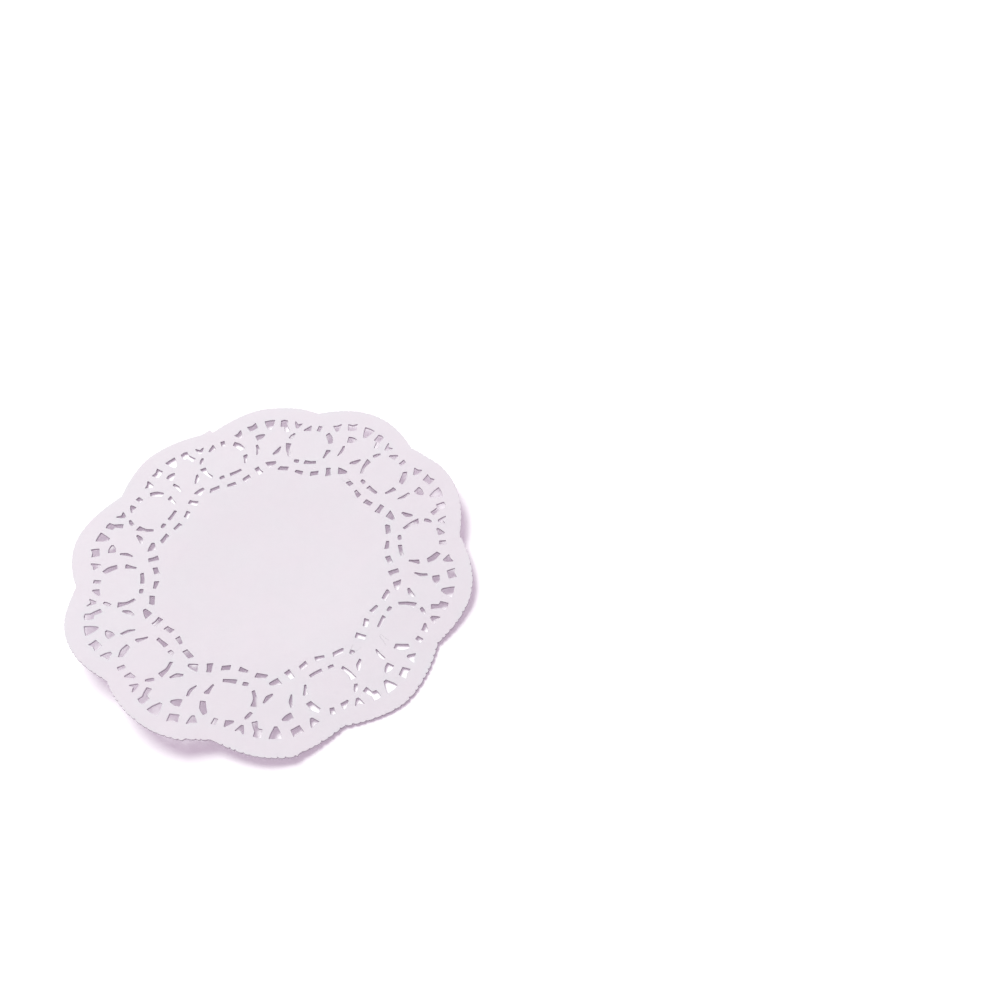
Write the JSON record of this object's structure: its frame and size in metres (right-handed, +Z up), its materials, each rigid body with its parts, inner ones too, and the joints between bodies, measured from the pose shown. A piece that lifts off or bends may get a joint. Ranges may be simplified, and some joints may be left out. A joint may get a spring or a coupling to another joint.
{
  "type": "round paper lace doily",
  "caption": "Round paper doily with a plain middle, a border of punched lace slots round plain roundels, and a scalloped rim, lying open in a shallow curl.",
  "frame": {"origin": "centre of the lace, on the underside, in the flat strip that the sheet rests on", "axes": "+Z up, out of the upper face; +X points through the middle of one roundel of the border, +Y a quarter turn from it"},
  "size_m": [0.1604, 0.1663, 0.0108],
  "materials": {
    "doily_paper": "uncoated, matte, slightly mottled"
  },
  "bodies": {
    "root": {"doily": "doily_paper"}
  },
  "joints": []
}
